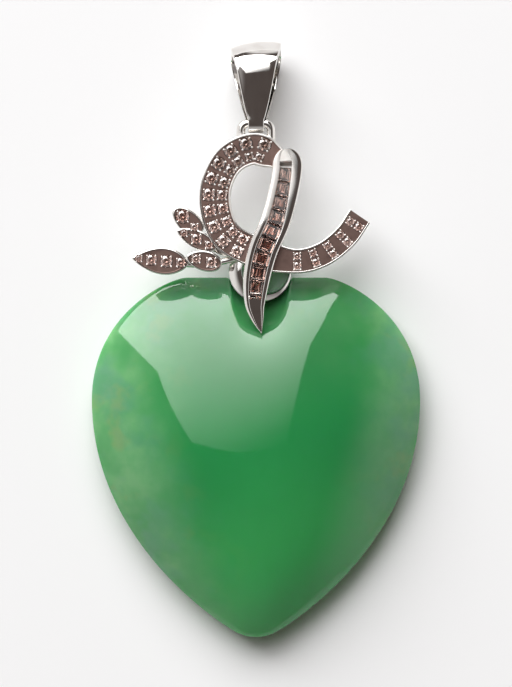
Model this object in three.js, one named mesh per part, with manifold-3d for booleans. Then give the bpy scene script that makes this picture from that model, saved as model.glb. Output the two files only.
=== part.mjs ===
// A heart-shaped jade cabochon under a white-gold surmount set with diamonds: a ribbon that loops over
// and ends in a tail, a channel-set strand that crosses it and lies down over the stone, four small
// leaves, a collar round the stone's lug, and a loose tapered bail for a chain. It lies on its flat back,
// face up, with the bail towards +Y. Millimetres, +Z up, with the origin under the middle of the pendant.

import * as THREE from 'three';
import { mergeVertices } from 'three/addons/utils/BufferGeometryUtils.js';
import Module from 'manifold-3d';

const wasm = await Module();
wasm.setup();

// Jade heart
const heartWidth = 24.2;
const heartHeight = 26.5;
const heartThickness = 6.2;
const girdleTop = 2.0; // height of the upright edge, where the dome begins
const backRound = 1.0; // rounding of the back's edge
const cleftLip = 0.4; // rounding where the lobes turn into the cleft
const cleftFade = 0.5; // share of the way from middle to edge where the cleft starts to dent the dome
const domeSwell = 2.1; // power of the share from middle to edge: more is flatter on top
const domeEdge = 0.88; // power of the fall: less is rounder at the edge
const lugBevel = 0.2;
const bridgeWidth = 2.4; // of the jade that joins the lug to the heart, under the collar
const bridgeHeight = 1.3;

// Surmount
const surmountBottom = 3.2; // above the surface that the heart's back lies on
const surmountRise = 9.4; // from the heart's top to the middle of the ribbon at the top of its loop
const ribbonWidth = 2.3;
const ribbonThickness = 1.2;
const ribbonRail = 0.15;
const tailWidth = 1.8;
const ribbonEndWidth = 1.4; // under the strand's head
const paveRecess = 0.12; // depth of the set floor below the rails
const strandWidth = 2.2;
const strandHeadThickness = 0.95;
const strandThickness = 1.3;
const strandTipThickness = 0.5;
const channelDepth = 0.55;
const restGap = 0.06; // between the strand and the stone that it lies over
const collarRadius = 2.28;
const collarHole = 1.8; // radius of the opening that the lug stands in
const collarShift = 0.42; // of the opening to the right, which leaves a crescent on the left
const collarTop = 3.5;
const collarRound = 0.3;
const collarOffset = 0.3; // sideways from the heart's middle
const collarRise = 0.5; // of its middle above the heart's top
const seatGap = 0.06; // between the collar and the jade
const leafThickness = 0.95;
const leafStep = 0.05; // each leaf lies a little higher than the one before
const stemWidth = 0.5;
const edgeBevel = 0.09;

// Diamonds
const stoneGap = 0.035; // between a stone and its seat
const seatWall = 0.03; // of metal between seats
const stoneSides = 8;
const pavilionShare = 0.43;
const crownShare = 0.15;
const tableShare = 0.56;
const pairPitch = 1.06; // along the ribbon
const baguetteCount = 9;
const baguetteSpacing = 0.06;
const baguetteHeight = 0.48;

// Ring and bail
const ringHalfWidth = 1.1; // to the middle of its wire
const ringCorner = 0.5;
const ringLegs = 1.3;
const ringWire = 0.65;
const ringRise = 11.27; // of the middle of its top bar above the heart's top
const bailLength = 6.378; // from the middle of the ring's bar to the outside of the crest
const bailHookWidth = 1.15;
const bailCrestWidth = 3.7;
const bailHookThickness = 0.33;
const bailCrestThickness = 0.5;
const bailHookClearance = 0.05; // round the ring's bar
const bailCrestRadius = 1.9; // inside, where a chain passes

const jade = new THREE.MeshStandardMaterial({ color: 0x4f9a63, roughness: 0.12, metalness: 0 });
const whiteGold = new THREE.MeshStandardMaterial({ color: 0xdedad2, roughness: 0.14, metalness: 1 });
const diamond = new THREE.MeshStandardMaterial({ color: 0xe9dcd6, roughness: 0.03, metalness: 0 });

// The routes and leaves below are drawn in squares, with 9.4 squares from the heart's top to the loop's.
const drawn = surmountRise / 9.4;

function mix(a, b, share) {
  return a + (b - a) * share;
}

function ease(from, to, value) {
  return THREE.MathUtils.smoothstep(value, from, to);
}

// A closed geometry with its faces out, from rings of points. End faces are given as triangles of the ring.
function loft(rings, endFaces, closed = false) {
  const size = rings[0].length;
  const positions = rings.flat().flatMap((p) => [p.x, p.y, p.z]);
  const faces = [];
  const spans = closed ? rings.length : rings.length - 1;
  for (let i = 0; i < spans; i++) {
    const here = i * size;
    const next = ((i + 1) % rings.length) * size;
    for (let j = 0; j < size; j++) {
      const k = (j + 1) % size;
      faces.push(here + j, here + k, next + k);
      faces.push(here + j, next + k, next + j);
    }
  }
  if (!closed) {
    const last = (rings.length - 1) * size;
    for (const [a, b, c] of endFaces) {
      faces.push(a, c, b);
      faces.push(last + a, last + b, last + c);
    }
  }
  const geometry = new THREE.BufferGeometry();
  geometry.setAttribute('position', new THREE.Float32BufferAttribute(positions, 3));
  geometry.setIndex(faces);
  return facesOut(geometry);
}

function signedVolume(geometry) {
  const place = geometry.attributes.position;
  const index = geometry.index;
  const [a, b, c] = [new THREE.Vector3(), new THREE.Vector3(), new THREE.Vector3()];
  let volume = 0;
  for (let i = 0; i < index.count; i += 3) {
    a.fromBufferAttribute(place, index.getX(i));
    b.fromBufferAttribute(place, index.getX(i + 1));
    c.fromBufferAttribute(place, index.getX(i + 2));
    volume += a.dot(b.cross(c)) / 6;
  }
  return volume;
}

function facesOut(geometry) {
  if (signedVolume(geometry) < 0) {
    const index = geometry.index;
    for (let i = 0; i < index.count; i += 3) {
      const kept = index.getX(i + 1);
      index.setX(i + 1, index.getX(i + 2));
      index.setX(i + 2, kept);
    }
  }
  return geometry;
}

function fanFaces(size) {
  const faces = [];
  for (let i = 1; i < size - 1; i++) {
    faces.push([0, i, i + 1]);
  }
  return faces;
}

function sectionFaces(section) {
  return THREE.ShapeUtils.triangulateShape(section, []);
}

// Booleans
function solidOf(geometry) {
  const bare = geometry.clone();
  for (const name of Object.keys(bare.attributes)) {
    if (name !== 'position') {
      bare.deleteAttribute(name);
    }
  }
  const merged = mergeVertices(bare, 1e-5);
  const vertProperties = new Float32Array(merged.attributes.position.array);
  const triVerts = new Uint32Array(merged.index.array);
  return new wasm.Manifold(new wasm.Mesh({ numProp: 3, vertProperties, triVerts }));
}

function geometryOf(solid) {
  const mesh = solid.getMesh();
  const geometry = new THREE.BufferGeometry();
  geometry.setAttribute('position', new THREE.BufferAttribute(new Float32Array(mesh.vertProperties), 3));
  geometry.setIndex(new THREE.BufferAttribute(new Uint32Array(mesh.triVerts), 1));
  return geometry;
}

function joined(geometries) {
  let whole = solidOf(geometries[0]);
  for (const geometry of geometries.slice(1)) {
    whole = whole.add(solidOf(geometry));
  }
  return whole;
}

// Jade heart. Its outline is four curves, and the cleft is an arc round the collar that sits in it.
const collarY = heartHeight + collarRise;
const collarBottom = bridgeHeight + seatGap;

function heartOutline() {
  const half = heartWidth / 2;
  const widest = 0.659 * heartHeight;
  const shoulder = 0.42 * half;
  const tipWidth = 0.107 * half;
  const tipRise = 0.0106 * heartHeight;
  const cleftRadius = collarRadius + seatGap;
  const topAngle = -Math.asin(collarRise / cleftRadius);
  const lipAngle = topAngle - cleftLip / cleftRadius;
  const onArc = (angle) => new THREE.Vector2(
    collarOffset + cleftRadius * Math.cos(angle),
    collarY + cleftRadius * Math.sin(angle),
  );
  const side = (sign) => {
    const point = (x, y) => new THREE.Vector2(sign * x, y);
    return [
      new THREE.CubicBezierCurve(
        point(tipWidth, tipRise),
        point(1.53 * tipWidth, 2.04 * tipRise),
        point(half, widest - 0.406 * heartHeight),
        point(half, widest),
      ),
      new THREE.CubicBezierCurve(
        point(half, widest),
        point(half, widest + 0.245 * heartHeight),
        point(shoulder + 0.1 * half, heartHeight),
        point(shoulder, heartHeight),
      ),
    ];
  };
  const lip = (end, outward) => {
    const edge = new THREE.Vector2(onArc(end).x + outward * cleftLip, heartHeight);
    const corner = new THREE.Vector2(onArc(end).x, heartHeight);
    return new THREE.QuadraticBezierCurve(edge, corner, onArc(end));
  };
  const [rightLow, rightHigh] = side(1);
  const [leftLow, leftHigh] = side(-1);
  const rightLip = lip(lipAngle, 1);
  const leftLip = lip(-Math.PI - lipAngle, -1);
  const along = (curve, steps) => curve.getPoints(steps).slice(0, -1);
  const back = (curve, steps) => curve.getPoints(steps).reverse().slice(0, -1);
  const tip = new THREE.QuadraticBezierCurve(
    new THREE.Vector2(-tipWidth, tipRise),
    new THREE.Vector2(0, -tipRise),
    new THREE.Vector2(tipWidth, tipRise),
  );
  const arc = [];
  const arcSteps = 12;
  for (let i = 0; i < arcSteps; i++) {
    arc.push(onArc(mix(lipAngle, -Math.PI - lipAngle, i / arcSteps)));
  }
  return [
    ...along(tip, 6),
    ...along(rightLow, 12),
    ...along(rightHigh, 12),
    rightHigh.getPoint(1),
    ...along(rightLip, 3),
    ...arc,
    ...back(leftLip, 3),
    leftLip.getPoint(0),
    ...back(leftHigh, 12),
    ...back(leftLow, 12),
  ];
}

function domedHeart() {
  const outline = heartOutline();
  const middle = new THREE.Vector2(0, 0.46 * heartHeight);
  const nearCleft = collarRadius + seatGap + 1.5 * cleftLip;
  const inCleft = (p) => Math.abs(p.x - collarOffset) < nearCleft && p.y > middle.y;
  const ring = (share, z) => {
    const dent = ease(cleftFade, 1, share);
    return outline.map((p) => {
      const y = inCleft(p) ? mix(heartHeight, p.y, dent) : p.y;
      return new THREE.Vector3(
        mix(middle.x, p.x, share),
        mix(middle.y, y, share),
        z,
      );
    });
  };
  const rings = [ring(0.45, 0)];
  const backSteps = 3;
  for (let i = 0; i <= backSteps; i++) {
    const angle = (i / backSteps) * Math.PI / 2;
    const inset = backRound * (1 - Math.sin(angle));
    rings.push(ring(1 - inset / (heartHeight / 2), backRound * (1 - Math.cos(angle))));
  }
  rings.push(ring(1, girdleTop));
  const domeSteps = 12;
  for (let i = 1; i <= domeSteps; i++) {
    const share = Math.max(0.03, Math.cos((i / domeSteps) * Math.PI / 2));
    const height = Math.pow(1 - Math.pow(share, domeSwell), domeEdge);
    rings.push(ring(share, mix(girdleTop, heartThickness, height)));
  }
  return loft(rings, fanFaces(outline.length));
}

// A low round lug stands behind the cleft. It fills the collar's opening and ends under the ribbon.
function lugAndBridge() {
  const radius = collarHole - seatGap;
  const top = surmountBottom - seatGap;
  const lug = new THREE.LatheGeometry([
    new THREE.Vector2(0, 0),
    new THREE.Vector2(radius, 0),
    new THREE.Vector2(radius, top - lugBevel),
    new THREE.Vector2(radius - lugBevel, top),
    new THREE.Vector2(0, top),
  ], 32).rotateX(Math.PI / 2);
  const reach = collarRadius + seatGap + backRound + 0.1;
  const bridge = new THREE.BoxGeometry(bridgeWidth, reach, bridgeHeight);
  bridge.translate(collarOffset, collarY - reach / 2, bridgeHeight / 2);
  return [lug.translate(collarOffset + collarShift, collarY, 0), bridge];
}

const heart = new THREE.Mesh(geometryOf(joined([domedHeart(), ...lugAndBridge()])), jade);
heart.name = 'jade_heart';

const plumb = new THREE.Raycaster();

// Height of the heart's face at a place, or 0 outside it
function faceHeight(x, y) {
  plumb.set(new THREE.Vector3(x, y, 2 * heartThickness), new THREE.Vector3(0, 0, -1));
  const hits = plumb.intersectObject(heart);
  return hits.length > 0 ? hits[0].point.z : 0;
}

// Strips: a flat section carried along a route in the plane, with its own width at each place
function route(points, bottom) {
  const places = points.map(([x, y]) => new THREE.Vector3(
    x * drawn,
    heartHeight + y * drawn,
    bottom,
  ));
  return new THREE.CatmullRomCurve3(places, false, 'centripetal');
}

function crossing(curve, u) {
  const tangent = curve.getTangentAt(u);
  return new THREE.Vector3(-tangent.y, tangent.x, 0).normalize();
}

// The section is a tray: a floor between a left and a right rail.
function traySection({ width, left, right, thickness, floor }) {
  const half = width / 2;
  const bevel = Math.min(edgeBevel, 0.4 * Math.min(left, right));
  return [
    [-half + bevel, 0],
    [half - bevel, 0],
    [half, bevel],
    [half, thickness - bevel],
    [half - bevel, thickness],
    [half - right, thickness],
    [half - right, floor],
    [-half + left, floor],
    [-half + left, thickness],
    [-half + bevel, thickness],
    [-half, thickness - bevel],
    [-half, bevel],
  ].map(([across, height]) => new THREE.Vector2(across, height));
}

function strip(curve, steps, sizes, bottomAt) {
  const rings = [];
  let section = null;
  for (let i = 0; i <= steps; i++) {
    const u = i / steps;
    const middle = curve.getPointAt(u);
    const across = crossing(curve, u);
    section = traySection(sizes(u));
    const bottom = bottomAt(u, middle, across);
    rings.push(section.map((p) => new THREE.Vector3(
      middle.x - across.x * p.x,
      middle.y - across.y * p.x,
      bottom + p.y,
    )));
  }
  return loft(rings, sectionFaces(section));
}

// Ribbon: from the tail's square end, behind the strand, round the loop to the strand's head
const ribbonRoute = route([
  [7.6, 4.44],
  [6.6, 3.0],
  [4.9, 1.66],
  [2.9, 1.16],
  [-0.7, 2.1],
  [-2.2, 3.1],
  [-2.94, 5.0],
  [-2.86, 6.9],
  [-1.86, 8.64],
  [-0.14, 9.38],
  [1.05, 8.95],
  [1.95, 8.35],
], surmountBottom);

const tailShare = 0.27; // of the ribbon's length
const loopShare = 0.45; // where the loop comes out from behind the strand
const headShare = 0.92; // where the ribbon narrows to pass under the strand's head
const ribbonFloor = ribbonThickness - paveRecess;
const ribbonLength = ribbonRoute.getLength();

function ribbonSizes(u) {
  const loopWidth = mix(tailWidth, ribbonWidth, ease(tailShare, loopShare - 0.05, u));
  const width = mix(loopWidth, ribbonEndWidth, ease(headShare, 1, u));
  return { width, left: ribbonRail, right: ribbonRail, thickness: ribbonThickness, floor: ribbonFloor };
}

const ribbon = strip(ribbonRoute, 46, ribbonSizes, () => surmountBottom);

// Strand: from its round head down to the point that lies over the stone
const strandRoute = route([
  [2.2, 9.35],
  [2.3, 8.0],
  [1.96, 6.0],
  [1.4, 4.0],
  [0.54, 2.0],
  [0.06, 0],
  [-0.08, -2.0],
  [0.1, -3.0],
  [0.4, -4.1],
], surmountBottom);

const channelStart = 0.09;
const channelEnd = 0.8;
const strandLift = surmountBottom + ribbonThickness - 0.45;

function strandSizes(u) {
  const head = Math.sqrt(1 - Math.pow(1 - Math.min(1, (u + 0.004) / 0.09), 2));
  const tip = Math.max(0.04, 1 - Math.pow(u, 6.5));
  const width = strandWidth * head * tip;
  const left = width * mix(0.36, 0.2, ease(0.1, 0.5, u));
  const right = width * 0.24;
  const full = mix(strandHeadThickness, strandThickness, Math.min(1, u / 0.5));
  const thickness = mix(full, strandTipThickness, ease(0.7, 1, u));
  const open = ease(channelStart - 0.03, channelStart, u) * (1 - ease(channelEnd, channelEnd + 0.02, u));
  return { width, left, right, thickness, floor: thickness - Math.max(0.03, channelDepth * open) };
}

function strandBottom(u, middle, across) {
  const { width } = strandSizes(u);
  const heights = [-0.5, 0, 0.5].map((share) => faceHeight(
    middle.x + across.x * width * share,
    middle.y + across.y * width * share,
  ));
  return Math.max(strandLift, ...heights.map((height) => height + restGap));
}

// The strand's underside follows the stone in an even sweep, clear of its highest place below each step.
const strandSteps = 40;

function sweptBottoms() {
  const clear = [];
  for (let i = 0; i <= strandSteps; i++) {
    const u = i / strandSteps;
    clear.push(strandBottom(u, strandRoute.getPointAt(u), crossing(strandRoute, u)));
  }
  const reach = 4;
  const raised = clear.map((height, i) => Math.max(...clear.slice(Math.max(0, i - reach), i + reach + 1)));
  return raised.map((height, i) => {
    const near = raised.slice(Math.max(0, i - reach), i + reach + 1);
    return Math.max(clear[i], near.reduce((sum, value) => sum + value, 0) / near.length);
  });
}

const strandBottoms = sweptBottoms();

function bottomAlongStrand(u) {
  const place = u * strandSteps;
  const first = Math.min(strandSteps - 1, Math.floor(place));
  return mix(strandBottoms[first], strandBottoms[first + 1], place - first);
}

const strand = strip(strandRoute, strandSteps, strandSizes, (u) => bottomAlongStrand(u));

// Leaves: each runs from its stalk end to its tip
function leafShape({ base, tip, width, fullness }) {
  const start = new THREE.Vector2(base[0] * drawn, heartHeight + base[1] * drawn);
  const end = new THREE.Vector2(tip[0] * drawn, heartHeight + tip[1] * drawn);
  const length = start.distanceTo(end);
  const along = end.clone().sub(start).normalize();
  const across = new THREE.Vector2(-along.y, along.x);
  const widest = (width / 2) * drawn;
  const halfWidth = (share) => widest * Math.pow(Math.sin(Math.PI * Math.pow(share, 0.85)), fullness);
  const at = (share, offset) => start.clone()
    .addScaledVector(along, share * length)
    .addScaledVector(across, offset);
  return { length, halfWidth, at };
}

const leaves = [
  { base: [-4.9, 1.0], tip: [-9.1, 1.4], width: 2.0, fullness: 0.75, stones: [0.72, 0.9, 0.82, 0.55] },
  { base: [-4.0, 3.2], tip: [-6.0, 5.0], width: 1.6, fullness: 0.4, stones: [0.62, 1.0] },
  { base: [-2.9, 2.1], tip: [-5.8, 3.45], width: 1.35, fullness: 0.6, stones: [0.6, 0.82, 0.58] },
  { base: [-2.5, 0.9], tip: [-5.1, 1.5], width: 1.5, fullness: 0.5, stones: [0.8, 0.72] },
];

function leafBottom(number) {
  return surmountBottom + (number + 1) * leafStep;
}

function leafPlate(leaf, number) {
  const { length, halfWidth, at } = leafShape(leaf);
  const steps = 9;
  const outline = (inset, z) => {
    const points = [];
    const endInset = inset / length;
    for (const sign of [1, -1]) {
      for (let i = 0; i < steps; i++) {
        const share = sign > 0 ? i / steps : 1 - i / steps;
        const kept = mix(endInset, 1 - endInset, share);
        const offset = Math.max(0, halfWidth(share) - inset);
        const place = at(kept, sign * offset);
        points.push(new THREE.Vector3(place.x, place.y, z));
      }
    }
    return points;
  };
  const bottom = leafBottom(number);
  const top = bottom + leafThickness;
  const rings = [
    outline(edgeBevel, bottom),
    outline(0, bottom + edgeBevel),
    outline(0, top - edgeBevel),
    outline(edgeBevel, top),
  ];
  return loft(rings, fanFaces(2 * steps));
}

function wireAlong(path, width, steps) {
  const section = new THREE.Shape().absarc(0, 0, width / 2, 0, 2 * Math.PI);
  return new THREE.ExtrudeGeometry(section, {
    steps,
    curveSegments: 6,
    bevelEnabled: false,
    extrudePath: path,
  });
}

function rod(points, width, height) {
  const places = points.map(([x, y]) => new THREE.Vector3(x * drawn, heartHeight + y * drawn, height));
  const path = new THREE.CatmullRomCurve3(places);
  return wireAlong(path, width, 6);
}

const stemHeight = surmountBottom + stemWidth / 2 + 0.1;
const stems = [
  [[-5.4, 1.0], [-4.2, 0.95], [-2.8, 1.1], [-1.0, 1.5]],
  [[-4.6, 3.6], [-3.7, 2.6], [-2.6, 1.9], [-1.2, 1.6]],
].map((points) => rod(points, stemWidth, stemHeight));

// Collar: a round plate in the cleft with an off-centre opening for the lug
function collar() {
  const profile = [new THREE.Vector2(0, collarBottom), new THREE.Vector2(collarRadius, collarBottom)];
  const bends = 4;
  for (let i = 0; i <= bends; i++) {
    const angle = (i / bends) * Math.PI / 2;
    profile.push(new THREE.Vector2(
      collarRadius - collarRound * (1 - Math.cos(angle)),
      collarTop - collarRound * (1 - Math.sin(angle)),
    ));
  }
  profile.push(new THREE.Vector2(0, collarTop));
  const plate = new THREE.LatheGeometry(profile, 32).rotateX(Math.PI / 2);
  const opening = new THREE.CylinderGeometry(collarHole, collarHole, 4 * collarTop, 32).rotateX(Math.PI / 2);
  opening.translate(collarShift, 0, 0);
  const ring = geometryOf(solidOf(plate).subtract(solidOf(opening)));
  return ring.translate(collarOffset, collarY, 0);
}

// Ring: an arch soldered to the top of the loop, for the bail
const ringY = heartHeight + ringRise * drawn;
const ringZ = surmountBottom + ribbonThickness / 2;

function ringArch() {
  const straight = ringHalfWidth - ringCorner;
  const points = [new THREE.Vector3(ringHalfWidth, ringY - ringCorner - ringLegs, ringZ)];
  for (const [sign, from] of [[1, 0], [-1, Math.PI / 2]]) {
    const bends = 5;
    for (let i = 0; i <= bends; i++) {
      const angle = from + (i / bends) * (Math.PI / 2);
      points.push(new THREE.Vector3(
        sign * straight + ringCorner * Math.cos(angle),
        ringY - ringCorner + ringCorner * Math.sin(angle),
        ringZ,
      ));
    }
  }
  points.push(new THREE.Vector3(-ringHalfWidth, ringY - ringCorner - ringLegs, ringZ));
  const path = new THREE.CatmullRomCurve3(points);
  return wireAlong(path, ringWire, 26);
}

// Diamonds: a round one is turned from its profile with its girdle at height 0, and its seat is the
// same form with the gap added and an open top.
function roundStone(width) {
  const radius = width / 2;
  return new THREE.LatheGeometry([
    new THREE.Vector2(0, -pavilionShare * width),
    new THREE.Vector2(radius, 0),
    new THREE.Vector2(tableShare * radius, crownShare * width),
    new THREE.Vector2(0, crownShare * width),
  ], stoneSides).rotateX(Math.PI / 2);
}

function roundSeat(width) {
  const radius = width / 2 + stoneGap;
  return new THREE.LatheGeometry([
    new THREE.Vector2(0, -pavilionShare * width - 1.5 * stoneGap),
    new THREE.Vector2(radius, -stoneGap),
    new THREE.Vector2(radius, 0.5 * width),
    new THREE.Vector2(0, 0.5 * width),
  ], stoneSides).rotateX(Math.PI / 2);
}

const stones = [];
const seats = [];

function setRound(name, width, x, y, girdle) {
  const stone = new THREE.Mesh(roundStone(width), diamond);
  stone.name = name;
  stone.position.set(x, y, girdle);
  stones.push(stone);
  seats.push(roundSeat(width).translate(x, y, girdle));
}

const girdleSink = 0.03; // of a girdle below the floor round it

// Two rows side by side along the ribbon. On the loop's bend the outer row's stones are the larger ones,
// and a stone is smaller where its neighbours in the row come close.
function setPairs(name, first, last, outerShare) {
  const count = Math.max(2, Math.floor(((last - first) * ribbonLength) / pairPitch) + 1);
  for (const [row, side] of [['inner', -1], ['outer', 1]]) {
    const places = [];
    for (let i = 0; i < count; i++) {
      const u = mix(first, last, i / (count - 1));
      const middle = ribbonRoute.getPointAt(u);
      const { width } = ribbonSizes(u);
      const room = width - 2 * ribbonRail - 4 * stoneGap - 3 * seatWall;
      const bend = ease(loopShare, loopShare + 0.08, u);
      const stone = room * mix(0.5, side > 0 ? outerShare : 1 - outerShare, bend);
      const offset = width / 2 - ribbonRail - seatWall - stoneGap - stone / 2;
      places.push({ middle: middle.addScaledVector(crossing(ribbonRoute, u), side * offset), stone });
    }
    places.forEach(({ middle, stone }, i) => {
      const near = [places[i - 1], places[i + 1]].filter(Boolean);
      const apart = Math.min(...near.map((other) => other.middle.distanceTo(middle)));
      const width = Math.min(stone, apart - 2 * stoneGap - seatWall);
      const order = String(i + 1).padStart(2, '0');
      const girdle = surmountBottom + ribbonFloor - girdleSink;
      setRound(`${name}_${row}_${order}`, width, middle.x, middle.y, girdle);
    });
  }
}

setPairs('tail_diamond', 0.7 / ribbonLength, tailShare, 0.5);
setPairs('ribbon_diamond', loopShare + 0.02, 1 - 1.75 / ribbonLength, 0.54);

leaves.forEach((leaf, number) => {
  const { length, at } = leafShape(leaf);
  const widths = leaf.stones.map((width) => width * drawn);
  const used = widths.reduce((sum, width) => sum + width, 0);
  const spare = (length - used) / (widths.length + 1);
  let place = 0;
  widths.forEach((width, i) => {
    place += spare + width / 2;
    const middle = at(place / length, 0);
    const girdle = leafBottom(number) + leafThickness - paveRecess - girdleSink;
    setRound(`leaf_${number + 1}_diamond_${i + 1}`, width, middle.x, middle.y, girdle);
    place += width / 2;
  });
});

// Baguettes: each fills its own stretch of the channel, so its ends follow the strand.
function baguette(from, to) {
  const rings = [];
  const levels = [[0.5, 0], [1, 0.68], [0.74, 1]];
  for (const [share, height] of levels) {
    const ring = [];
    for (const [u, sign] of [[from, -1], [from, 1], [to, 1], [to, -1]]) {
      const sizes = strandSizes(u);
      const middle = strandRoute.getPointAt(mix((from + to) / 2, u, mix(1, share, 0.6)));
      const across = crossing(strandRoute, u);
      const channelMiddle = (sizes.left - sizes.right) / 2;
      const half = (sizes.width - sizes.left - sizes.right) / 2 - stoneGap;
      const offset = channelMiddle + sign * half * share;
      const z = bottomAlongStrand(u) + sizes.floor + stoneGap + baguetteHeight * height;
      ring.push(new THREE.Vector3(middle.x - across.x * offset, middle.y - across.y * offset, z));
    }
    rings.push(ring);
  }
  return loft(rings, fanFaces(4));
}

const strandLength = strandRoute.getLength();
const baguetteGap = baguetteSpacing / strandLength;
const baguetteReach = (channelEnd - channelStart - 0.02 + baguetteGap) / baguetteCount;
for (let i = 0; i < baguetteCount; i++) {
  const from = channelStart + 0.01 + i * baguetteReach;
  const stone = new THREE.Mesh(baguette(from, from + baguetteReach - baguetteGap), diamond);
  stone.name = `strand_baguette_${i + 1}`;
  stones.push(stone);
}

function surmountSolid() {
  let body = joined([ribbon, strand, collar(), ringArch(), ...leaves.map(leafPlate), ...stems]);
  for (const seat of seats) {
    body = body.subtract(solidOf(seat));
  }
  return body;
}

const surmount = new THREE.Mesh(geometryOf(surmountSolid()), whiteGold);
surmount.name = 'surmount';

// Bail: a strap bent into a long loop round the ring's bar. Its own +Y runs from the bar to the crest.
const hookRadius = ringWire / 2 + bailHookClearance;
const hookMiddle = hookRadius + bailHookThickness / 2;
const crestMiddle = bailCrestRadius + bailCrestThickness / 2;
const crestPlace = bailLength - bailCrestRadius - bailCrestThickness;
const legAngle = Math.acos((hookMiddle - crestMiddle) / crestPlace);

// Its tilt lets the crest come down to the surface, while the hook stays round the bar.
const bailTilt = Math.asin((ringZ - bailCrestRadius - bailCrestThickness) / crestPlace);

function bailWidth(y) {
  const share = THREE.MathUtils.clamp(y / (bailLength - 0.6), 0, 1);
  return mix(bailHookWidth, bailCrestWidth, Math.pow(share, 0.8));
}

function bailThickness(y) {
  return mix(bailHookThickness, bailCrestThickness, THREE.MathUtils.clamp(y / crestPlace, 0, 1));
}

function bailStations() {
  const stations = [];
  const arc = (centre, radius, from, to, steps) => {
    for (let i = 0; i <= steps; i++) {
      const angle = mix(from, to, i / steps);
      const out = new THREE.Vector2(Math.cos(angle), Math.sin(angle));
      stations.push({ y: centre + radius * out.x, z: radius * out.y, out });
    }
  };
  const leg = (sign, steps) => {
    const out = new THREE.Vector2(Math.cos(legAngle), sign * Math.sin(legAngle));
    const start = sign > 0 ? [crestPlace, crestMiddle] : [0, hookMiddle];
    const end = sign > 0 ? [0, hookMiddle] : [crestPlace, crestMiddle];
    for (let i = 1; i < steps; i++) {
      const place = mix(start[0], end[0], i / steps);
      const radius = mix(start[1], end[1], i / steps);
      stations.push({ y: place + radius * out.x, z: radius * out.y, out });
    }
  };
  arc(crestPlace, crestMiddle, -legAngle, legAngle, 14);
  leg(1, 6);
  arc(0, hookMiddle, legAngle, 2 * Math.PI - legAngle, 10);
  leg(-1, 6);
  return stations;
}

function bailSolid() {
  const rings = bailStations().map(({ y, z, out }) => {
    const width = bailWidth(y);
    const thickness = bailThickness(y);
    const section = [
      [-width / 2, -thickness / 2],
      [width / 2, -thickness / 2],
      [width / 2, thickness / 2 - edgeBevel],
      [width / 2 - edgeBevel, thickness / 2],
      [-width / 2 + edgeBevel, thickness / 2],
      [-width / 2, thickness / 2 - edgeBevel],
    ];
    return section.map(([x, outward]) => new THREE.Vector3(x, y + out.x * outward, z + out.y * outward));
  });
  return solidOf(loft(rings, [], true));
}

const bailGroup = new THREE.Group();
bailGroup.position.set(0, ringY, ringZ);
bailGroup.rotation.x = -bailTilt;

const bail = new THREE.Mesh(geometryOf(bailSolid()), whiteGold);
bail.name = 'bail';
bailGroup.add(bail);

// The pendant, moved so that the origin is under its middle
const pieces = new THREE.Group();
pieces.add(heart, surmount, bailGroup, ...stones);
pieces.updateMatrixWorld(true);
const extent = new THREE.Box3().setFromObject(pieces, true);
pieces.position.set(-(extent.min.x + extent.max.x) / 2, -(extent.min.y + extent.max.y) / 2, -extent.min.z);

const pendant = new THREE.Group();
pendant.add(pieces);

export default pendant;
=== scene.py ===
# %% [markdown]
# # A jade heart pendant
#
# A polished jade cabochon hangs from a white-gold surmount. The surmount is a ribbon of diamonds that
# loops over, a channel of oblong diamonds that crosses it and lies down over the stone, a spray of small
# leaves and a thin collar round a jade lug in the cleft. A loose tapered bail carries the chain.
# Everything lies face up on a pale table, and the camera looks straight down on it.
#
# The construction comes first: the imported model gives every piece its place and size. The steps below
# keep those sizes and make the surfaces fine enough for a close look.

# %% Load the construction
import math

import bmesh
import bpy
import numpy as np
from mathutils import Matrix, Vector
from mathutils.bvhtree import BVHTree


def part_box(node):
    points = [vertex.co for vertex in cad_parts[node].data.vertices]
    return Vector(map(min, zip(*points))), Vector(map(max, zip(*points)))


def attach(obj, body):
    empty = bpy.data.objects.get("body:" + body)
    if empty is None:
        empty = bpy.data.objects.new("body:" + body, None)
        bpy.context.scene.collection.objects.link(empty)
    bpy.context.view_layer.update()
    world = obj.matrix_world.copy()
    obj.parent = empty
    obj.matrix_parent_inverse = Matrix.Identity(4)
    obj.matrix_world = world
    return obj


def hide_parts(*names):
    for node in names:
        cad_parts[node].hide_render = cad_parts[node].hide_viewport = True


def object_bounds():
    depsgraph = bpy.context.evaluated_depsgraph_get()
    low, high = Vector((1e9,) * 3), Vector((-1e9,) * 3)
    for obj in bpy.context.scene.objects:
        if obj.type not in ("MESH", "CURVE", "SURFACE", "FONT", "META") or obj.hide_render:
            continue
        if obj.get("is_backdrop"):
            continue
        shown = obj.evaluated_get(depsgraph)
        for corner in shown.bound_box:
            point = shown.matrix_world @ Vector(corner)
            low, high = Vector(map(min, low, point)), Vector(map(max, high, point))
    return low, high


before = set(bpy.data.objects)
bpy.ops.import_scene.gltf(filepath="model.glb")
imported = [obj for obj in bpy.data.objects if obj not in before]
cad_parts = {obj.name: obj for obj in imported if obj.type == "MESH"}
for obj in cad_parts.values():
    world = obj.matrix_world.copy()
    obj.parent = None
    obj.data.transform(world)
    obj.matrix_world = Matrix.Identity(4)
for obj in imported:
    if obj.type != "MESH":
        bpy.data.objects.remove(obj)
cad_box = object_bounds()
print("pieces in the construction:", len(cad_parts))

# %% [markdown]
# ## One measure for all
#
# A jeweller draws in millimetres from the tip of the heart, so each mesh is made that way: x from the
# middle line, y up from the tip, z up from the table. Booleans are steadier at this scale too. When a mesh
# is done it is set into the shared frame in metres, and its object stays at the origin.

# %% Measures and small helpers
MM = 0.001
heart_low, heart_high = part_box("jade_heart")
TO_FRAME = Matrix.Translation((0, heart_low.y, 0)) @ Matrix.Scale(MM, 4)


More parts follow.
